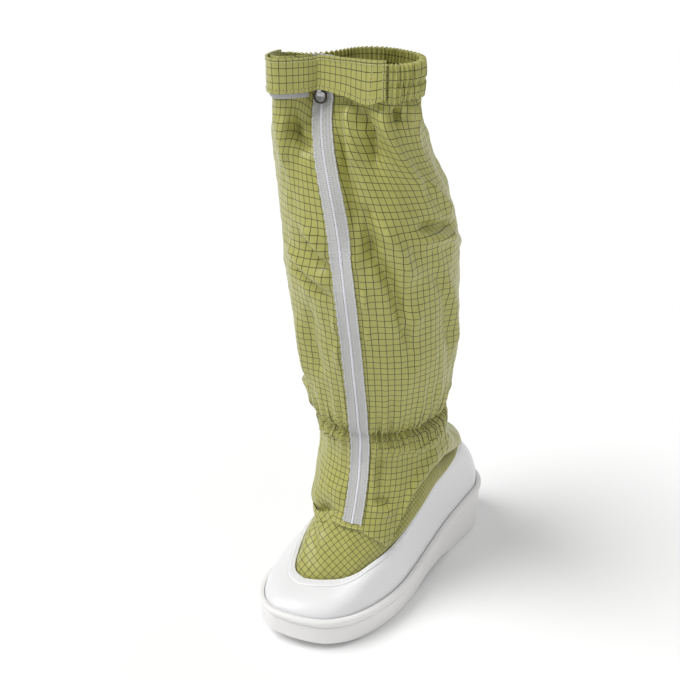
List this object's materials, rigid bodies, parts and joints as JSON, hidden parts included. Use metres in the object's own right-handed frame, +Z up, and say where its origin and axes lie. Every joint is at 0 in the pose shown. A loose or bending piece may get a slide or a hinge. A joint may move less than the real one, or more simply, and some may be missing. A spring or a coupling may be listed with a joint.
{
  "type": "cleanroom boot",
  "caption": "Knee-high cleanroom boot: white slip-on shoe with a zipped antistatic cloth leg, gathered ankle and collar, and a front closure strap.",
  "frame": {"origin": "on the floor, under the middle of the heel tread", "axes": "+Z up along the leg, -Y towards the toe, +X towards the outer (lateral) side of this left boot"},
  "size_m": [0.1264, 0.25, 0.432],
  "materials": {
    "sole_foam": "smooth moulded polyurethane, satin",
    "insole": "matt knitted cover on foam",
    "upper_leather": "smooth white coated synthetic leather, soft gloss",
    "grid_cloth": "thin woven polyester with a dark conductive yarn grid, slight sheen",
    "loop_fabric": "white hook and loop fabric, matt",
    "zip_tape": "white woven tape, matt",
    "zip_coil": "white nylon coil, satin",
    "zip_metal": "white lacquered die-cast slider",
    "pull_wire": "dark plated wire"
  },
  "bodies": {
    "boot": {"sole": "sole_foam", "insole": "insole", "upper": "upper_leather", "leg": "grid_cloth", "collar_cuff": "grid_cloth", "closure_strap": "grid_cloth", "hook_patch": "loop_fabric", "zip_tape_outer": "zip_tape", "zip_tape_inner": "zip_tape", "zip_coil": "zip_coil", "zip_slider": "zip_metal"},
    "zip_pull": {"zip_pull": "pull_wire"}
  },
  "joints": [
    {"name": "zip_pull_swing", "type": "hinge", "parent": "boot", "child": "zip_pull", "pos_m": [-0.02082, -0.13904, 0.4085], "axis": [-0.9365, -0.3507, 0], "range_deg": [0, 35]}
  ]
}
